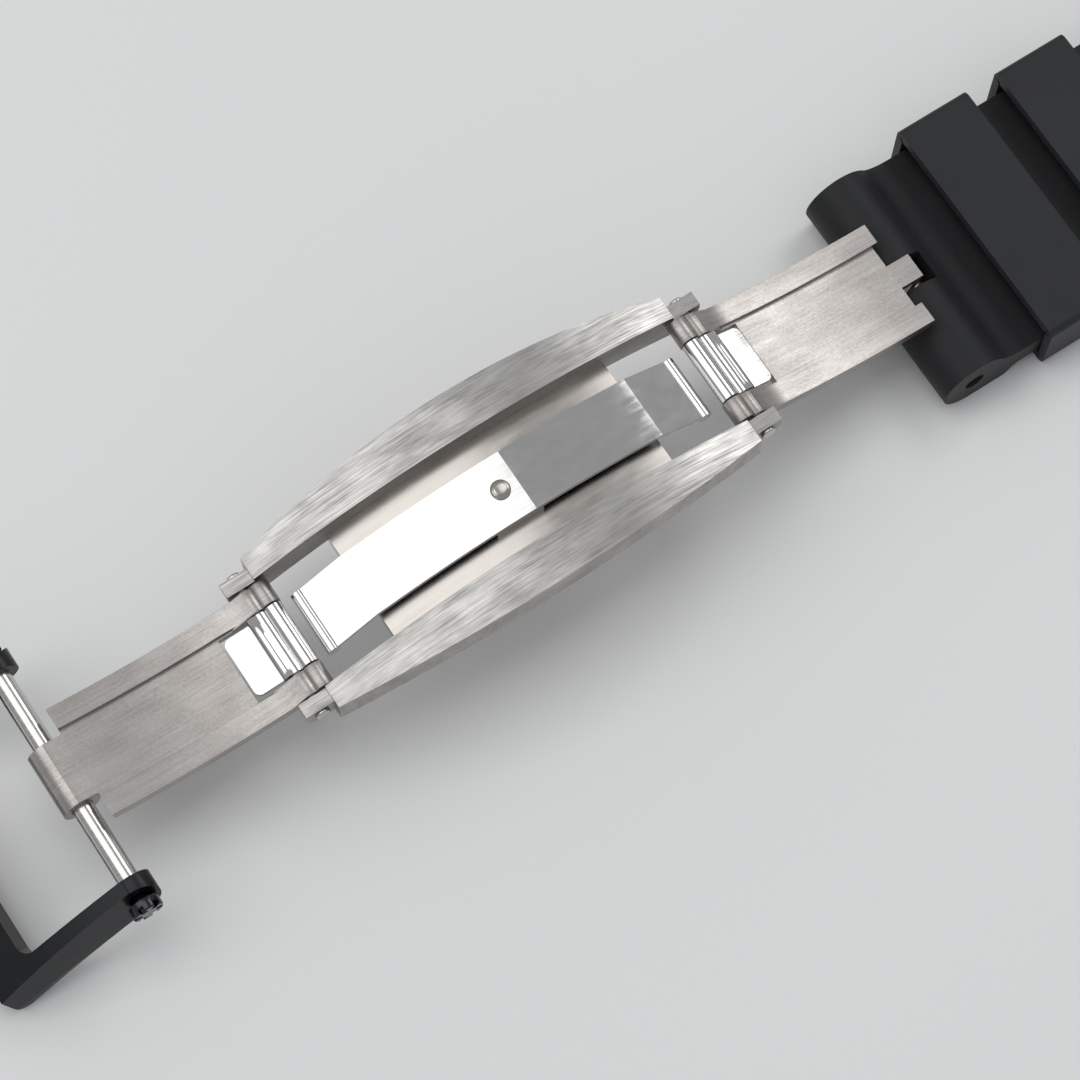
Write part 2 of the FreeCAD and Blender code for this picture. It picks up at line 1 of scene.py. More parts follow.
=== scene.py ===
"""Folding clasp of a dive watch, with its buckle and the strap half that carries the keepers.

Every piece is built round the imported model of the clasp. Lengths are in metres.
X runs along the strap from the buckle to the watch case, Y across it, Z up.
"""

import json
import math

import bpy
from mathutils import Matrix, Vector


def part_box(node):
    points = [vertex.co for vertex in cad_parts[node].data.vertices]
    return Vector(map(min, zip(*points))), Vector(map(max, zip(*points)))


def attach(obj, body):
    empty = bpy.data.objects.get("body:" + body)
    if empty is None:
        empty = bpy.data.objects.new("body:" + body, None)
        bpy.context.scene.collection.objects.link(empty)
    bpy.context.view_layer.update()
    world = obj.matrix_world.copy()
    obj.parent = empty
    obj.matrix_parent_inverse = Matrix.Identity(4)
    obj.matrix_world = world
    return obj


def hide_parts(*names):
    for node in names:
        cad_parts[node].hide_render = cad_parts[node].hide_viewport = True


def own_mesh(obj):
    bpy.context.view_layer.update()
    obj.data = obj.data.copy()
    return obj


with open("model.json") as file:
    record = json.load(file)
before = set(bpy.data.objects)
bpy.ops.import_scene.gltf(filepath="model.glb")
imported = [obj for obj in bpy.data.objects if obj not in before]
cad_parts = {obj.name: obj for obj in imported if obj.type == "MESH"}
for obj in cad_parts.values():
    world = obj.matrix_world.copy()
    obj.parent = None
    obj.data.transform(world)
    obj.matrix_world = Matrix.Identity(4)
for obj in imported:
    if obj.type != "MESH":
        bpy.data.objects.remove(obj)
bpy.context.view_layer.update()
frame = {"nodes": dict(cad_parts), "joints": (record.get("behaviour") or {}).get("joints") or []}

bl_info = {
    "name": "Dive watch clasp",
    "version": (1, 0, 0),
    "blender": (4, 5, 0),
    "location": "3D View > Sidebar > Clasp",
    "description": "Builds an open folding clasp with its buckle, strap and keepers",
    "category": "Add Mesh",
}

MM = 0.001


def pivot(name):
    """Return the place of a joint's axis."""
    for joint in frame["joints"]:
        if joint["name"] == name:
            return Vector(joint["pos_m"])
    raise RuntimeError("the frame has no joint named " + name)


LEFT_HINGE = pivot("left_arm_fold")
RIGHT_HINGE = pivot("right_arm_fold")
STRAP_PIN = pivot("strap_swing")
CASE_BAR = sum(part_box("case_bar_tube"), Vector()) / 2
FRAME_TILT = math.atan2(RIGHT_HINGE.z - LEFT_HINGE.z, RIGHT_HINGE.x - LEFT_HINGE.x)
FRAME_MIDDLE = (LEFT_HINGE + RIGHT_HINGE) / 2

# The length of a tool that cuts right through, and the gap under which vertices become one
FAR = 40 * MM
MERGE_GAP = 0.002 * MM

# The centre frame's arch, in the frame's own tilted axes
RAIL_ARCH_R = 64.0 * MM
RAIL_END_Z = 1.131 * MM
RAIL_DEPTH = 1.2 * MM
FLOOR_HALF_W = 5.3 * MM

# The rivet: each ring of its head is (share of the head's height, growth of the radius), and the
# lean share takes off what the tilted head adds to the height of the rivet's box
RIVET_HEAD_R = 0.85 * MM
RIVET_SHANK_R = 0.5 * MM
RIVET_HEAD_H = 0.3 * MM
RIVET_LEAN_SHARE = 0.8
RIVET_HEAD_RINGS = ((0.45, 1.0), (0.4, 0.88), (0.15, 0.82))
DIMPLE_RINGS = 6
DIMPLE_FLOOR = 0.1

# The coils of the case's spring bar
WIRE_R = 0.11 * MM
COIL_GAP = 0.02 * MM
COIL_STEPS_PER_TURN = 20

# The strap: lengths from its pin, and heights of its underside and top
STRAP_HALF_W = 10.3 * MM
STRAP_BORE_R = 0.93 * MM
NOTCH_HALF_W = 1.4 * MM
NOTCH_DEPTH = 2.1 * MM
NOTCH_TOOL_AHEAD = 5.0 * MM
NOTCH_TOOL_H = 10.0 * MM
RUN_START = 6.2 * MM
RUN_END = 44.0 * MM
RUN_UNDER = 1.2 * MM
KEEPER_ABOVE_RUN = 2.6 * MM
# (distance from the pin, underside, top) in millimetres, where the boss falls to the run
PIN_END_DIP = (
    (2.75, 0.0, 4.62), (3.1, 0.0, 4.34), (3.5, 0.08, 4.12), (3.9, 0.48, 3.95),
    (4.3, 0.9, 3.83), (4.8, 1.15, 3.74), (5.5, 1.2, 3.7), (6.2, 1.2, 3.7),
)
# (distance from the run's end, underside, top, share of the flare), where the run grows to the case end
CASE_END_RISE = (
    (1, 1.2, 3.72, 0.02), (2, 0.8, 3.95, 0.1), (3, 0.4, 4.25, 0.2), (4, 0, 4.45, 0.3),
    (8, 0, 4.65, 0.7), (12, 0, 4.76, 1.0), (16, 0, 4.86, 1.0), (20, 0, 4.98, 1.0), (24, 0, 5.15, 1.0),
)
ROUND_STEP = 8
KEEPER_CORNER_R = 0.7 * MM

# The stage: where the camera and the lights look, and each light as (offset, width and height)
FLOOR_SIZE = 6.0
AIM = Vector((-29.04, -3.62, 8.0)) * MM
OVERHEAD_PLACE = (-0.20, 0.14, 0.5)
OVERHEAD_SIZE = (0.62, 0.36)
STRAP_SIDE_PLACE = (0.49, 0.16, 0.5)
STRAP_SIDE_SIZE = (0.26, 0.34)
ROOM_COLOUR = "#dfe1e4"
SENSOR_MM = 36
NEAR_CLIP = 0.01


# ---------------------------------------------------------------- materials

def linear(code):
    """Turn an sRGB hex colour into the linear colour that the shader wants."""
    parts = [int(code[i:i + 2], 16) / 255 for i in (1, 3, 5)]
    return [p / 12.92 if p <= 0.04045 else ((p + 0.055) / 1.055) ** 2.4 for p in parts] + [1.0]


def add_node(tree, kind, inputs=(), **settings):
    """Add a node with its settings, and set or link each input that is named."""
    made = tree.nodes.new(kind)
    for key, value in settings.items():
        setattr(made, key, value)
    for socket, value in dict(inputs).items():
        if isinstance(value, bpy.types.NodeSocket):
            tree.links.new(value, made.inputs[socket])
        else:
            made.inputs[socket].default_value = value
    return made


def start_material(name, constants):
    """Make a material with one Principled shader and Object coordinates."""
    material = bpy.data.materials.new(name)
    material.use_nodes = True
    tree = material.node_tree
    tree.nodes.clear()
    shader = add_node(tree, "ShaderNodeBsdfPrincipled", constants)
    add_node(tree, "ShaderNodeOutputMaterial", {"Surface": shader.outputs[0]})
    place = add_node(tree, "ShaderNodeTexCoord").outputs["Object"]
    return material, tree, shader, place


def speckle(tree, place, size, turn=(0, 0, 0), detail=2.0, rough=0.5):
    """Return noise whose blobs measure size = (x, y, z) millimetres, turned by radians."""
    scale = [1 / (s * MM) for s in size]
    mapped = add_node(tree, "ShaderNodeMapping",
                      {"Vector": place, "Rotation": turn, "Scale": scale})
    noise = add_node(tree, "ShaderNodeTexNoise",
                     {"Vector": mapped.outputs[0], "Scale": 1.0, "Detail": detail, "Roughness": rough})
    return noise.outputs[0]


def spread(tree, value, low, high, to_low, to_high):
    """Return value stretched from low..high to to_low..to_high."""
    made = add_node(tree, "ShaderNodeMapRange", {0: value, 1: low, 2: high, 3: to_low, 4: to_high})
    return made.outputs[0]


def two_colours(tree, factor, dark, light):
    """Return a colour between two hex colours."""
    made = add_node(tree, "ShaderNodeMix", {0: factor, 6: linear(dark), 7: linear(light)},
                    data_type="RGBA")
    return made.outputs[2]


def sum_of(tree, *terms):
    """Return the weighted sum of (value, weight) pairs."""
    total = 0.0
    for value, weight in terms:
        made = add_node(tree, "ShaderNodeMath", {0: value, 1: weight, 2: total},
                        operation="MULTIPLY_ADD")
        total = made.outputs[0]
    return total


def relief(tree, shader, height, depth):
    """Bend the shader's normal as a relief of depth millimetres would."""
    bump = add_node(tree, "ShaderNodeBump", {"Height": height, "Distance": depth * MM, "Strength": 1.0})
    tree.links.new(bump.outputs[0], shader.inputs["Normal"])


def brushed_titanium():
    """Grade 2 titanium, belt brushed: warm grey with long streaks and a few crossing strokes."""
    material, tree, shader, place = start_material("brushed_titanium", {"Metallic": 1.0})
    streak = speckle(tree, place, (8.0, 0.09, 3.0), detail=3.0, rough=0.6)
    stroke = speckle(tree, place, (1.9, 0.12, 1.6), turn=(0, 0, 0.4), detail=2.0)
    cloud = speckle(tree, place, (3.4, 1.6, 2.2), detail=3.0)
    mixed = sum_of(tree, (streak, 0.44), (stroke, 0.26), (cloud, 0.3))
    shade = spread(tree, mixed, 0.38, 0.62, 0.0, 1.0)
    tree.links.new(two_colours(tree, shade, "#8b8986", "#c3c1be"), shader.inputs["Base Color"])
    tree.links.new(spread(tree, mixed, 0.38, 0.62, 0.42, 0.28), shader.inputs["Roughness"])
    relief(tree, shader, sum_of(tree, (streak, 0.75), (stroke, 0.25)), 0.004)
    return material


def satin_titanium():
    """Grade 2 titanium with a fine lengthwise grain, smoother than the rails."""
    material, tree, shader, place = start_material("satin_titanium", {"Metallic": 1.0})
    grain = speckle(tree, place, (10.0, 0.11, 3.0), detail=3.0, rough=0.6)
    grit = speckle(tree, place, (0.3, 0.14, 0.3), detail=2.0)
    cloud = speckle(tree, place, (4.0, 2.0, 2.0), detail=1.0)
    mixed = sum_of(tree, (grain, 0.4), (grit, 0.3), (cloud, 0.3))
    shade = spread(tree, mixed, 0.35, 0.65, 0.0, 1.0)
    tree.links.new(two_colours(tree, shade, "#9a9591", "#bdb8b4"), shader.inputs["Base Color"])
    tree.links.new(spread(tree, mixed, 0.35, 0.65, 0.4, 0.32), shader.inputs["Roughness"])
    relief(tree, shader, sum_of(tree, (grain, 0.6), (grit, 0.4)), 0.0014)
    return material


def milled_titanium():
    """Grade 2 titanium as the cutter leaves it: a smooth, slightly wavy sheen."""
    material, tree, shader, place = start_material("milled_titanium", {"Metallic": 1.0})
    trace = speckle(tree, place, (6.0, 0.5, 2.0), detail=1.0)
    cloud = speckle(tree, place, (2.5, 1.6, 1.6), detail=2.0)
    both = sum_of(tree, (trace, 0.5), (cloud, 0.5))
    tree.links.new(two_colours(tree, both, "#a7a19b", "#cfcac4"), shader.inputs["Base Color"])
    tree.links.new(spread(tree, both, 0.3, 0.7, 0.2, 0.3), shader.inputs["Roughness"])
    relief(tree, shader, both, 0.004)
    return material


def mirror_steel():
    """Stainless steel 316L, buffed to a mirror: sharp reflections, faintly wavy, with hairlines."""
    material, tree, shader, place = start_material("mirror_steel", {"Metallic": 1.0})
    wave = speckle(tree, place, (3.5, 2.5, 2.5), detail=0.0)
    hair = speckle(tree, place, (5.0, 0.1, 2.0), turn=(0, 0, 0.2), detail=1.0)
    haze = speckle(tree, place, (1.8, 1.2, 1.2), detail=3.0)
    tree.links.new(two_colours(tree, haze, "#c9c8c6", "#d8d7d5"), shader.inputs["Base Color"])
    tree.links.new(spread(tree, sum_of(tree, (haze, 0.6), (hair, 0.4)), 0.35, 0.7, 0.03, 0.12),
                   shader.inputs["Roughness"])
    relief(tree, shader, sum_of(tree, (wave, 0.97), (hair, 0.03)), 0.0007)
    return material


def turned_steel():
    """Stainless steel 304 off the lathe: fine rings round the Y axis and a soft sheen."""
    material, tree, shader, place = start_material("turned_steel", {"Metallic": 1.0})
    ring = speckle(tree, place, (30.0, 0.16, 30.0), detail=1.0)
    haze = speckle(tree, place, (1.4, 1.4, 1.4), detail=2.0)
    both = sum_of(tree, (ring, 0.7), (haze, 0.3))
    tree.links.new(two_colours(tree, both, "#b8b6b3", "#d8d6d3"), shader.inputs["Base Color"])
    tree.links.new(spread(tree, both, 0.3, 0.7, 0.13, 0.24), shader.inputs["Roughness"])
    relief(tree, shader, ring, 0.0009)
    return material


def coated_steel():
    """Steel with a black vapour coating over a fine bead blast: dark, satin, slightly grainy."""
    material, tree, shader, place = start_material(
        "black_coated_steel", {"Metallic": 0.75, "Coat Weight": 0.12, "Coat Roughness": 0.3})
    grit = speckle(tree, place, (0.14, 0.14, 0.14), detail=2.0)
    cloud = speckle(tree, place, (3.0, 3.0, 3.0), detail=2.0)
    both = sum_of(tree, (grit, 0.5), (cloud, 0.5))
    tree.links.new(two_colours(tree, both, "#1b1c1e", "#2b2c2f"), shader.inputs["Base Color"])
    tree.links.new(spread(tree, both, 0.3, 0.7, 0.3, 0.44), shader.inputs["Roughness"])
    relief(tree, shader, grit, 0.004)
    return material


def polished_black():
    """Steel with the same black coating over a polish: hard white glints on a black head."""
    material, tree, shader, place = start_material(
        "polished_black_coating", {"Metallic": 0.85, "Coat Weight": 0.3, "Coat Roughness": 0.08})
    haze = speckle(tree, place, (0.5, 0.5, 0.5), detail=3.0)
    tree.links.new(two_colours(tree, haze, "#232427", "#3a3b3f"), shader.inputs["Base Color"])
    tree.links.new(spread(tree, haze, 0.3, 0.7, 0.1, 0.22), shader.inputs["Roughness"])
    relief(tree, shader, haze, 0.003)
    return material


def moulded_rubber(name, dark, light, grain_mm):
    """Fluoroelastomer moulded in a fine blasted die: matte near-black with a velvety speckle."""
    material, tree, shader, place = start_material(
        name, {"Metallic": 0.0, "IOR": 1.42, "Sheen Weight": 0.05, "Sheen Roughness": 0.45})
    grain = speckle(tree, place, (grain_mm, grain_mm, grain_mm), detail=3.0, rough=0.6)
    dust = speckle(tree, place, (0.35, 0.35, 0.35), detail=1.0)
    cloud = speckle(tree, place, (6.0, 6.0, 4.0), detail=2.0)
    shade = sum_of(tree, (grain, 0.35), (dust, 0.15), (cloud, 0.5))
    tree.links.new(two_colours(tree, spread(tree, shade, 0.35, 0.65, 0.0, 1.0), dark, light),
                   shader.inputs["Base Color"])
    tree.links.new(spread(tree, shade, 0.3, 0.7, 0.5, 0.64), shader.inputs["Roughness"])
    relief(tree, shader, sum_of(tree, (grain, 0.7), (dust, 0.3)), 0.012)
    return material


def painted_floor():
    """Matte painted board: pale, with a faint unevenness."""
    material, tree, shader, place = start_material("matte_board", {"Metallic": 0.0, "Roughness": 0.85})
    cloud = speckle(tree, place, (160.0, 160.0, 160.0), detail=2.0)
    tree.links.new(two_colours(tree, cloud, "#efefee", "#f6f6f5"), shader.inputs["Base Color"])
    return material


def finish_named(name):
    """Return the material of that name, making it the first time."""
    makers = {
        "brushed_titanium": brushed_titanium,
        "satin_titanium": satin_titanium,
        "milled_titanium": milled_titanium,
        "mirror_steel": mirror_steel,
        "turned_steel": turned_steel,
        "black_coated_steel": coated_steel,
        "polished_black_coating": polished_black,
        "strap_rubber": lambda: moulded_rubber("strap_rubber", "#101113", "#1b1c1f", 0.16),
        "keeper_rubber": lambda: moulded_rubber("keeper_rubber", "#1a1b1e", "#292a2e", 0.13),
        "matte_board": painted_floor,
    }
    return bpy.data.materials.get(name) or makers[name]()


# ---------------------------------------------------------------- modelling

def select_only(*objects):
    """Leave edit mode and select these objects and nothing else."""
    if bpy.context.object and bpy.context.object.mode != "OBJECT":
        bpy.ops.object.mode_set(mode="OBJECT")
    bpy.ops.object.select_all(action="DESELECT")
    for piece in objects:
        piece.select_set(True)
        bpy.context.view_layer.objects.active = piece


def named_primitive(name):
    """Name the primitive that was just added, and fix its place into its mesh."""
    piece = bpy.context.object
    piece.name = name
    piece.data.name = name
    bpy.ops.object.transform_apply(location=True, rotation=True, scale=True)
    return piece


def pick(piece, kind, test):
    """Select the faces or edges that pass the test, and go into edit mode.

    The test gets a face's centre and normal, or an edge's two ends.
    """
    select_only(piece)
    mesh = piece.data
    bpy.ops.object.mode_set(mode="EDIT")
    bpy.ops.mesh.select_mode(type="FACE" if kind == "faces" else "EDGE")
    bpy.ops.mesh.select_all(action="DESELECT")
    bpy.ops.object.mode_set(mode="OBJECT")
    count = 0
    for element in mesh.polygons if kind == "faces" else mesh.edges:
        if kind == "faces":
            element.select = test(element.center, element.normal)
        else:
            element.select = test(*(mesh.vertices[v].co for v in element.vertices))
        count += element.select
    if not count:
        raise RuntimeError("nothing to select on " + piece.name)
    bpy.ops.object.mode_set(mode="EDIT")


def soften(piece, width, segments, degrees=30, smooth=30):
    """Round every edge sharper than degrees, and shade the piece smooth up to the other angle."""
    select_only(piece)
    edge = piece.modifiers.new("rounded_edges", "BEVEL")
    edge.width = width
    edge.segments = segments
    edge.limit_method = "ANGLE"
    edge.angle_limit = math.radians(degrees)
    edge.miter_outer = "MITER_ARC"
    bpy.ops.object.modifier_apply(modifier=edge.name)
    bpy.ops.object.shade_smooth_by_angle(angle=math.radians(smooth))
    even = piece.modifiers.new("flat_faces_lead", "WEIGHTED_NORMAL")
    even.mode = "FACE_AREA"
    even.weight = 100
    even.keep_sharp = True
    bpy.ops.object.modifier_apply(modifier=even.name)


def cut_with(piece, tool):
    """Cut the tool out of the piece, and remove the tool."""
    select_only(piece)
    cut = piece.modifiers.new("cut", "BOOLEAN")
    cut.operation = "DIFFERENCE"
    cut.solver = "EXACT"
    cut.object = tool
    bpy.ops.object.modifier_apply(modifier=cut.name)
    bpy.data.objects.remove(tool)


def tidy_mesh(piece):
    """Merge doubles and turn every face outwards."""
    select_only(piece)
    bpy.ops.object.mode_set(mode="EDIT")
    bpy.ops.mesh.select_all(action="SELECT")
    bpy.ops.mesh.remove_doubles(threshold=MERGE_GAP)
    bpy.ops.mesh.normals_make_consistent(inside=False)
    bpy.ops.object.mode_set(mode="OBJECT")


def finish_piece(piece, body, slot, material, *nodes):
    """Give a finished piece its material and its body, and hide the nodes that it stands for. The slot is
    not used.
    """
    select_only(piece)
    bpy.ops.object.transform_apply(location=True, rotation=True, scale=True)
    if not piece.data.materials:
        piece.data.materials.append(finish_named(material))
    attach(piece, body)
    if nodes:
        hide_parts(*nodes)
    return piece


def dress_node(node, material):
    """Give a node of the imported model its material."""
    mesh = frame["nodes"][node].data
    mesh.materials.clear()
    mesh.materials.append(finish_named(material))


def eased_copy(node, name, width, segments, degrees=28, smooth=30):
    """Copy a node's mesh, merge it, clear its flat faces of inner edges and round its edges."""
    piece = bpy.data.objects.new(name, frame["nodes"][node].data.copy())
    bpy.context.scene.collection.objects.link(piece)
    piece.data.name = name
    piece.data.materials.clear()
    select_only(piece)
    bpy.ops.object.mode_set(mode="EDIT")
    bpy.ops.mesh.select_all(action="SELECT")
    bpy.ops.mesh.remove_doubles(threshold=MERGE_GAP)
    bpy.ops.mesh.dissolve_limited(angle_limit=math.radians(0.6), delimit={"NORMAL"})
    bpy.ops.object.mode_set(mode="OBJECT")
    soften(piece, width, segments, degrees, smooth)
    return piece


def paint_faces(piece, materials, choose):
    """Give the piece several materials, and let choose(centre, normal) return each face's number."""
    for material in materials:
        piece.data.materials.append(finish_named(material))
    for face in piece.data.polygons:
        face.material_index = choose(face.center, face.normal)


# ---------------------------------------------------------------- settings

class ClaspMetalSizes(bpy.types.PropertyGroup):
    """Sizes of the metal pieces' edges and of the rivet."""

    frame_edge: bpy.props.FloatProperty(
        name="Frame edge", description="Rounding of the centre frame's edges",
        default=0.12 * MM, min=0.0, unit="LENGTH")
    arm_edge: bpy.props.FloatProperty(
        name="Arm edge", description="Rounding of the folding arms' edges",
        default=0.08 * MM, min=0.0, unit="LENGTH")
    fine_edge: bpy.props.FloatProperty(
        name="Fine edge", description="Rounding of the leaf, cams and screws",
        default=0.06 * MM, min=0.0, unit="LENGTH")
    buckle_edge: bpy.props.FloatProperty(
        name="Buckle edge", description="Rounding of the buckle's edges",
        default=0.3 * MM, min=0.0, unit="LENGTH")
    dimple: bpy.props.FloatProperty(
        name="Rivet dimple", description="Depth of the dimple in the rivet's head",
        default=0.12 * MM, min=0.0, unit="LENGTH")
    coil_turns: bpy.props.IntProperty(
        name="Coil turns", description="Turns in each half of the spring bar's coil",
        default=16, min=4, subtype="UNSIGNED")


class ClaspRubberSizes(bpy.types.PropertyGroup):
    """Sizes of the rubber strap and its keepers."""

    strap_edge: bpy.props.FloatProperty(
        name="Strap edge", description="Rounding of the strap's edges",
        default=0.4 * MM, min=0.0, unit="LENGTH")
    keeper_edge: bpy.props.FloatProperty(
        name="Keeper edge", description="Rounding of the keepers' edges",
        default=0.28 * MM, min=0.0, unit="LENGTH")
    keeper_wall: bpy.props.FloatProperty(
        name="Keeper wall", description="Thickness of a keeper above and below the strap",
        default=1.0 * MM, min=0.0, unit="LENGTH")
    keeper_side: bpy.props.FloatProperty(
        name="Keeper side", description="Thickness of a keeper beside the strap",
        default=0.8 * MM, min=0.0, unit="LENGTH")


class ClaspStageSettings(bpy.types.PropertyGroup):
    """The light and the camera."""

    key_power: bpy.props.FloatProperty(
        name="Key light", description="Power of the large light overhead",
        default=0.95, min=0.0, unit="POWER")
    fill_power: bpy.props.FloatProperty(
        name="Fill light", description="Power of the light on the strap's side",
        default=0.8, min=0.0, unit="POWER")
    sky: bpy.props.FloatProperty(
        name="Room light", description="Strength of the even light all round",
        default=0.57, min=0.0, subtype="UNSIGNED")
    turn: bpy.props.FloatProperty(
        name="Camera azimuth", description="Direction of the view, from +Y towards -X",
        default=math.radians(-36.72), subtype="ANGLE")
    height: bpy.props.FloatProperty(
        name="Camera elevation", description="Height of the view above the table",
        default=math.radians(70.79), subtype="ANGLE")
    roll: bpy.props.FloatProperty(
        name="Camera roll", description="Turn of the camera about its own axis",
        default=math.radians(3.68), subtype="ANGLE")
    distance: bpy.props.FloatProperty(
        name="Camera distance", description="Distance from the camera to the clasp",
        default=309.6 * MM, unit="LENGTH")
    lens: bpy.props.FloatProperty(
        name="Lens", description="Focal length", default=126.67, unit="CAMERA")


# ---------------------------------------------------------------- metal pieces

class CLASP_OT_centre_frame(bpy.types.Operator):
    """Finish the arched titanium frame: brushed rails, milled floor"""

    bl_idname = "clasp.centre_frame"
    bl_label = "Centre frame"

    def execute(self, context):
        sizes = context.scene.clasp_metal
        piece = eased_copy("centre_frame", "arched_centre_frame", sizes.frame_edge, 2)
        tilt = Matrix.Rotation(FRAME_TILT, 3, "Y")
        half_span = (RIGHT_HINGE - LEFT_HINGE).length / 2
        arch_z = RAIL_END_Z - math.sqrt(RAIL_ARCH_R ** 2 - half_span ** 2)

        def choose(centre, normal):
            local = tilt @ (centre - FRAME_MIDDLE)
            below = RAIL_ARCH_R - math.hypot(local.x, local.z - arch_z)
            faces_sideways = abs(normal.y) > 0.2
            faces_down = normal.z < -0.3
            if abs(local.y) < FLOOR_HALF_W and below > RAIL_DEPTH:
                return 1
            return 2 if faces_sideways or faces_down else 0

        paint_faces(piece, ("brushed_titanium", "milled_titanium", "satin_titanium"), choose)
        finish_piece(piece, "clasp_frame", "titanium", "brushed_titanium", "centre_frame")
        return {"FINISHED"}


class CLASP_OT_leaf_spring(bpy.types.Operator):
    """Finish the mirror polished leaf spring"""

    bl_idname = "clasp.leaf_spring"
    bl_label = "Leaf spring"

    def execute(self, context):
        sizes = context.scene.clasp_metal
        piece = eased_copy("leaf_spring", "polished_leaf_spring", sizes.fine_edge, 2, smooth=9)
        finish_piece(piece, "clasp_frame", "polished_steel", "mirror_steel", "leaf_spring")
        return {"FINISHED"}


class CLASP_OT_centre_rivet(bpy.types.Operator):
    """Turn the rivet in the leaf's middle: a domed head with a dimple, on a shank"""

    bl_idname = "clasp.centre_rivet"
    bl_label = "Centre rivet"

    def execute(self, context):
        sizes = context.scene.clasp_metal
        low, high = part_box("centre_rivet")
        lean = RIVET_HEAD_R * 2 * abs(math.sin(FRAME_TILT)) * RIVET_LEAN_SHARE
        length = (high.z - low.z) / math.cos(FRAME_TILT) - lean
        middle = (low + high) / 2
        middle.y = 0
        turn = Matrix.Rotation(-FRAME_TILT, 4, "Y")
        select_only()
        bpy.ops.mesh.primitive_cylinder_add(vertices=48, radius=RIVET_SHANK_R, depth=length)
        piece = named_primitive("dimpled_rivet")
        pick(piece, "faces", lambda centre, normal: normal.z > 0.9)
        bpy.ops.transform.translate(value=(0, 0, -RIVET_HEAD_H))
        self.add_ring(0, RIVET_HEAD_R / RIVET_SHANK_R)
        for rise, growth in RIVET_HEAD_RINGS:
            self.add_ring(RIVET_HEAD_H * rise, growth)
        angles = [math.radians(90 * step / DIMPLE_RINGS) for step in range(DIMPLE_RINGS + 1)]
        for before, after in zip(angles, angles[1:]):
            radius = max(math.cos(after), DIMPLE_FLOOR)
            self.add_ring(-sizes.dimple * (math.sin(after) - math.sin(before)), radius / math.cos(before))
        tidy_mesh(piece)
        bpy.ops.object.shade_smooth_by_angle(angle=math.radians(40))
        piece.data.transform(Matrix.Translation(middle) @ turn)
        finish_piece(piece, "clasp_frame", "satin_steel", "milled_titanium", "centre_rivet")
        return {"FINISHED"}

    def add_ring(self, rise, growth):
        """Extrude the selected disc along the rivet's axis and scale its radius."""
        bpy.ops.mesh.extrude_region_move(TRANSFORM_OT_translate={"value": (0, 0, rise)})
        bpy.ops.transform.resize(value=(growth, growth, 1))


class CLASP_OT_hinge_pins(bpy.types.Operator):
    """Finish the two hinge pins with their domed heads"""

    bl_idname = "clasp.hinge_pins"
    bl_label = "Hinge pins"

    def execute(self, context):
        sizes = context.scene.clasp_metal
        for side in ("left", "right"):
            piece = eased_copy(side + "_hinge_pin", side + "_domed_pin", sizes.fine_edge, 2)
            finish_piece(piece, "clasp_frame", "satin_steel", "turned_steel", side + "_hinge_pin")
        return {"FINISHED"}


class CLASP_OT_folding_arms(bpy.types.Operator):
    """Finish the two satin titanium arms"""

    bl_idname = "clasp.folding_arms"
    bl_label = "Folding arms"

    def execute(self, context):
        sizes = context.scene.clasp_metal
        for side in ("left", "right"):
            piece = eased_copy(side + "_arm", side + "_folding_arm", sizes.arm_edge, 2)
            finish_piece(piece, side + "_arm", "titanium", "satin_titanium", side + "_arm")
        return {"FINISHED"}


class CLASP_OT_ridged_cams(bpy.types.Operator):
    """Finish the two polished cams that press on the leaf"""

    bl_idname = "clasp.ridged_cams"
    bl_label = "Ridged cams"

    def execute(self, context):
        sizes = context.scene.clasp_metal
        for side in ("left", "right"):
            piece = eased_copy(side + "_cam", side + "_ridged_cam", sizes.fine_edge, 2)
            finish_piece(piece, side + "_arm", "polished_steel", "mirror_steel", side + "_cam")
        return {"FINISHED"}


class CLASP_OT_buckle_frame(bpy.types.Operator):
    """Finish the black coated buckle frame"""

    bl_idname = "clasp.buckle_frame"
    bl_label = "Buckle frame"

    def execute(self, context):
        sizes = context.scene.clasp_metal
        piece = eased_copy("buckle_frame", "open_buckle_frame", sizes.buckle_edge, 3)
        finish_piece(piece, "buckle", "black_metal", "black_coated_steel", "buckle_frame")
        return {"FINISHED"}


class CLASP_OT_buckle_screws(bpy.types.Operator):
    """Finish the notched screws at the ends of the buckle bar"""

    bl_idname = "clasp.buckle_screws"
    bl_label = "Buckle screws"

    def execute(self, context):
        sizes = context.scene.clasp_metal
        piece = eased_copy("buckle_screws", "notched_screws", sizes.fine_edge, 2)
        finish_piece(piece, "buckle", "black_screws", "polished_black_coating", "buckle_screws")
        return {"FINISHED"}


class CLASP_OT_turned_bars(bpy.types.Operator):
    """Give the turned bars, tube and tips their steel"""

    bl_idname = "clasp.turned_bars"
    bl_label = "Turned bars"

    def execute(self, context):
        for node in ("buckle_bar", "strap_pin", "case_bar_tube", "case_bar_far_tip",
                     "case_bar_near_tip"):
            dress_node(node, "turned_steel")
        return {"FINISHED"}


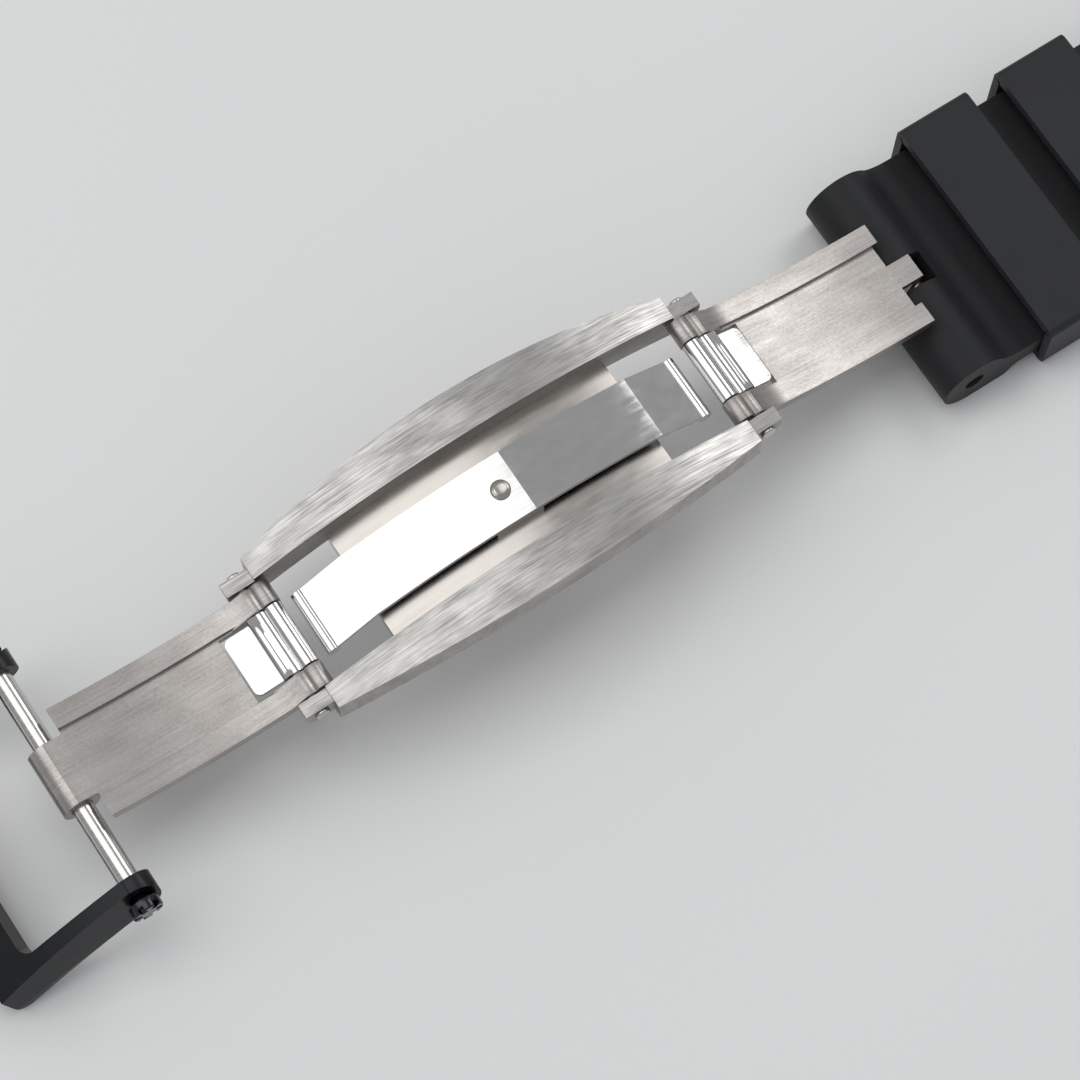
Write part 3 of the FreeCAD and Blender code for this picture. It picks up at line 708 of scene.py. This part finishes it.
class CLASP_OT_bar_coils(bpy.types.Operator):
    """Wind the two halves of the coil inside the case's spring bar"""

    bl_idname = "clasp.bar_coils"
    bl_label = "Spring bar coils"

    def execute(self, context):
        sizes = context.scene.clasp_metal
        low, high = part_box("case_bar_spring")
        coil_r = (high.z - low.z) / 2 - WIRE_R
        half = (high.y - low.y) / 2
        for side, tip in ((1, "far"), (-1, "near")):
            select_only()
            bpy.ops.mesh.primitive_circle_add(
                vertices=10, radius=WIRE_R, fill_type="NGON", location=(coil_r, 0, 0),
                rotation=(math.radians(90), 0, 0))
            piece = named_primitive(tip + "_bar_coil")
            screw = piece.modifiers.new("wind", "SCREW")
            screw.axis = "Z"
            screw.angle = 2 * math.pi * sizes.coil_turns
            screw.screw_offset = half - COIL_GAP - 2 * WIRE_R
            screw.steps = COIL_STEPS_PER_TURN * sizes.coil_turns
            screw.render_steps = screw.steps
            screw.use_merge_vertices = False
            bpy.ops.object.modifier_apply(modifier=screw.name)
            self.close_ends()
            start = Matrix.Translation(Vector((CASE_BAR.x, side * (COIL_GAP + WIRE_R), CASE_BAR.z)))
            piece.data.transform(start @ Matrix.Rotation(math.radians(-90 * side), 4, "X"))
            tidy_mesh(piece)
            bpy.ops.object.shade_smooth_by_angle(angle=math.radians(40))
            finish_piece(piece, "strap", "satin_steel", "turned_steel", "case_bar_spring")
            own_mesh(piece)
        return {"FINISHED"}

    def close_ends(self):
        """Cap the two open ends of the wire."""
        bpy.ops.object.mode_set(mode="EDIT")
        bpy.ops.mesh.select_mode(type="VERT")
        bpy.ops.mesh.select_all(action="SELECT")
        bpy.ops.mesh.fill_holes(sides=12)
        bpy.ops.object.mode_set(mode="OBJECT")


# ---------------------------------------------------------------- rubber pieces

def strap_stations():
    """Return (x, underside, top, half width) along the strap, from its pin end to the case."""
    low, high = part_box("strap")
    pin_r = STRAP_PIN.z
    case_r = CASE_BAR.z
    run_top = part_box("first_keeper")[1].z - KEEPER_ABOVE_RUN
    case_half_w = (high.y - low.y) / 2
    stations = []
    for degrees in [*range(5, 90, ROUND_STEP), 90]:
        x = STRAP_PIN.x - pin_r * math.cos(math.radians(degrees))
        rise = pin_r * math.sin(math.radians(degrees))
        stations.append((x, pin_r - rise, pin_r + rise, STRAP_HALF_W))
    for x in (0.5, 1.0, 1.5, 2.0, 2.4):
        rise = math.sqrt(pin_r ** 2 - (x * MM) ** 2)
        stations.append((STRAP_PIN.x + x * MM, 0.0, pin_r + rise, STRAP_HALF_W))
    for x, under, over in PIN_END_DIP:
        stations.append((STRAP_PIN.x + x * MM, under * MM, over * MM, STRAP_HALF_W))
    for share in (0.2, 0.4, 0.6, 0.8, 1.0):
        x = STRAP_PIN.x + RUN_START + share * (RUN_END - RUN_START)
        stations.append((x, RUN_UNDER, run_top, STRAP_HALF_W))
    for x, under, over, flare in CASE_END_RISE:
        wide = STRAP_HALF_W + flare * (case_half_w - STRAP_HALF_W)
        stations.append((STRAP_PIN.x + RUN_END + x * MM, under * MM, over * MM, wide))
    for degrees in [90, *range(82, 0, -ROUND_STEP)]:
        x = CASE_BAR.x + case_r * math.cos(math.radians(degrees))
        rise = case_r * math.sin(math.radians(degrees))
        stations.append((x, case_r - rise, case_r + rise, case_half_w))
    return stations


class CLASP_OT_rubber_strap(bpy.types.Operator):
    """Model the rubber strap: pin end, hollow behind it, run for the keepers, thicker case end"""

    bl_idname = "clasp.rubber_strap"
    bl_label = "Rubber strap"

    def execute(self, context):
        sizes = context.scene.clasp_rubber
        stations = strap_stations()
        x, under, over, half_w = stations[0]
        centre = (x, 0, (under + over) / 2)
        select_only()
        bpy.ops.mesh.primitive_plane_add(size=1, rotation=(0, math.radians(90), 0), location=centre)
        piece = named_primitive("moulded_strap")
        pick(piece, "faces", lambda centre, normal: True)
        bpy.ops.transform.resize(value=(1, 2 * half_w, over - under), center_override=centre)
        for before, after in zip(stations, stations[1:]):
            self.extrude_to(before, after)
        tidy_mesh(piece)
        start = STRAP_PIN.x - NOTCH_TOOL_AHEAD
        end = STRAP_PIN.x + NOTCH_DEPTH
        bpy.ops.mesh.primitive_cube_add(size=1, location=((start + end) / 2, 0, STRAP_PIN.z),
                                        scale=(end - start, 2 * NOTCH_HALF_W, NOTCH_TOOL_H))
        cut_with(piece, named_primitive("notch_tool"))
        for axis in (STRAP_PIN, CASE_BAR):
            bpy.ops.mesh.primitive_cylinder_add(
                vertices=40, radius=STRAP_BORE_R, depth=FAR, location=(axis.x, 0, axis.z),
                rotation=(math.radians(90), 0, 0))
            cut_with(piece, named_primitive("bore_tool"))
        tidy_mesh(piece)
        soften(piece, sizes.strap_edge, 3, 40)
        finish_piece(piece, "strap", "rubber", "strap_rubber", "strap")
        return {"FINISHED"}

    def extrude_to(self, before, after):
        """Carry the selected end face from one station to the next, and fit it there."""
        x0, under0, over0, half_w0 = before
        x1, under1, over1, half_w1 = after
        middle = (under1 + over1) / 2
        step = (x1 - x0, 0, middle - (under0 + over0) / 2)
        bpy.ops.mesh.extrude_region_move(TRANSFORM_OT_translate={"value": step})
        bpy.ops.transform.resize(value=(1, half_w1 / half_w0, (over1 - under1) / (over0 - under0)),
                                 center_override=(x1, 0, middle))


class CLASP_OT_keeper_loops(bpy.types.Operator):
    """Model the two keeper loops that slide on the strap"""

    bl_idname = "clasp.keeper_loops"
    bl_label = "Keeper loops"

    def execute(self, context):
        sizes = context.scene.clasp_rubber
        for node in ("first_keeper", "second_keeper"):
            low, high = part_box(node)
            centre = (low + high) / 2
            size = high - low
            select_only()
            bpy.ops.mesh.primitive_cube_add(size=1, location=centre, scale=size)
            piece = named_primitive(node + "_loop")
            pick(piece, "edges", lambda start, end: abs(start.x - end.x) > size.x / 2)
            bpy.ops.mesh.bevel(offset=KEEPER_CORNER_R, segments=5, affect="EDGES")
            pick(piece, "faces", lambda centre, normal: abs(normal.x) > 0.9)
            bpy.ops.mesh.inset(thickness=sizes.keeper_side, depth=0)
            open_h = size.z - 2 * sizes.keeper_wall
            now_h = size.z - 2 * sizes.keeper_side
            bpy.ops.transform.resize(value=(1, 1, open_h / now_h), center_override=centre)
            bpy.ops.mesh.bridge_edge_loops()
            tidy_mesh(piece)
            soften(piece, sizes.keeper_edge, 3, 40)
            finish_piece(piece, node, "rubber", "keeper_rubber", node)
        return {"FINISHED"}


# ---------------------------------------------------------------- stage

class CLASP_OT_stage(bpy.types.Operator):
    """Lay the floor, hang the lights and stand the camera"""

    bl_idname = "clasp.stage"
    bl_label = "Stage"

    def execute(self, context):
        settings = context.scene.clasp_stage
        select_only()
        bpy.ops.mesh.primitive_plane_add(size=FLOOR_SIZE, location=(0, 0, 0))
        floor = named_primitive("studio_floor")
        floor.data.materials.append(finish_named("matte_board"))
        self.softbox("overhead_softbox", OVERHEAD_PLACE, OVERHEAD_SIZE, settings.key_power)
        self.softbox("strap_side_softbox", STRAP_SIDE_PLACE, STRAP_SIDE_SIZE, settings.fill_power)
        world = bpy.data.worlds.new("even_room")
        world.use_nodes = True
        background = world.node_tree.nodes["Background"]
        background.inputs["Color"].default_value = linear(ROOM_COLOUR)
        background.inputs["Strength"].default_value = settings.sky
        context.scene.world = world
        flat = math.cos(settings.height)
        view = Vector((-math.sin(settings.turn) * flat, math.cos(settings.turn) * flat,
                       -math.sin(settings.height)))
        side = view.cross(Vector((0, 0, 1))).normalized()
        rise = side.cross(view)
        right = math.cos(settings.roll) * side + math.sin(settings.roll) * rise
        up = math.cos(settings.roll) * rise - math.sin(settings.roll) * side
        bpy.ops.object.camera_add(location=AIM - view * settings.distance)
        camera = context.object
        camera.name = "product_camera"
        turned = Matrix((right, up, -view)).transposed().to_4x4()
        turned.translation = camera.location
        camera.matrix_world = turned
        camera.data.lens = settings.lens
        camera.data.sensor_width = SENSOR_MM
        camera.data.clip_start = NEAR_CLIP
        context.scene.camera = camera
        context.scene.view_settings.view_transform = "Standard"
        return {"FINISHED"}

    def softbox(self, name, offset, size, power):
        """Hang one rectangular light that looks at the clasp."""
        place = AIM + Vector(offset)
        bpy.ops.object.light_add(type="AREA", location=place)
        lamp = bpy.context.object
        lamp.name = name
        lamp.data.shape = "RECTANGLE"
        lamp.data.size, lamp.data.size_y = size
        lamp.data.energy = power
        facing = (place - AIM).normalized()
        level = Vector((0, 1, 0)).cross(facing).normalized()
        lamp.matrix_world = Matrix((level, facing.cross(level), facing)).transposed().to_4x4()
        lamp.location = place


class CLASP_PT_sidebar(bpy.types.Panel):
    """Lists the clasp's pieces and the stage"""

    bl_idname = "CLASP_PT_sidebar"
    bl_label = "Dive watch clasp"
    bl_space_type = "VIEW_3D"
    bl_region_type = "UI"
    bl_category = "Clasp"

    def draw(self, context):
        for settings in (context.scene.clasp_metal, context.scene.clasp_rubber, context.scene.clasp_stage):
            box = self.layout.box()
            for key in settings.__annotations__:
                box.prop(settings, key)
        for operator in PIECE_OPERATORS:
            self.layout.operator(operator.bl_idname)


PIECE_OPERATORS = (
    CLASP_OT_centre_frame, CLASP_OT_leaf_spring, CLASP_OT_centre_rivet, CLASP_OT_hinge_pins,
    CLASP_OT_folding_arms, CLASP_OT_ridged_cams, CLASP_OT_buckle_frame, CLASP_OT_buckle_screws,
    CLASP_OT_turned_bars, CLASP_OT_bar_coils, CLASP_OT_rubber_strap, CLASP_OT_keeper_loops,
    CLASP_OT_stage,
)
CLASSES = (ClaspMetalSizes, ClaspRubberSizes, ClaspStageSettings) + PIECE_OPERATORS + (CLASP_PT_sidebar,)


def register():
    """Register the classes and hang the settings on the scene."""
    for cls in CLASSES:
        bpy.utils.register_class(cls)
    bpy.types.Scene.clasp_metal = bpy.props.PointerProperty(type=ClaspMetalSizes)
    bpy.types.Scene.clasp_rubber = bpy.props.PointerProperty(type=ClaspRubberSizes)
    bpy.types.Scene.clasp_stage = bpy.props.PointerProperty(type=ClaspStageSettings)


def unregister():
    """Take the settings off the scene and unregister the classes."""
    del bpy.types.Scene.clasp_stage
    del bpy.types.Scene.clasp_rubber
    del bpy.types.Scene.clasp_metal
    for cls in reversed(CLASSES):
        bpy.utils.unregister_class(cls)


def main():
    """Build every piece in order."""
    register()
    bpy.ops.clasp.centre_frame()
    bpy.ops.clasp.leaf_spring()
    bpy.ops.clasp.centre_rivet()
    bpy.ops.clasp.hinge_pins()
    bpy.ops.clasp.folding_arms()
    bpy.ops.clasp.ridged_cams()
    bpy.ops.clasp.buckle_frame()
    bpy.ops.clasp.buckle_screws()
    bpy.ops.clasp.turned_bars()
    bpy.ops.clasp.bar_coils()
    bpy.ops.clasp.rubber_strap()
    bpy.ops.clasp.keeper_loops()
    bpy.ops.clasp.stage()


if __name__ == "__main__":
    main()
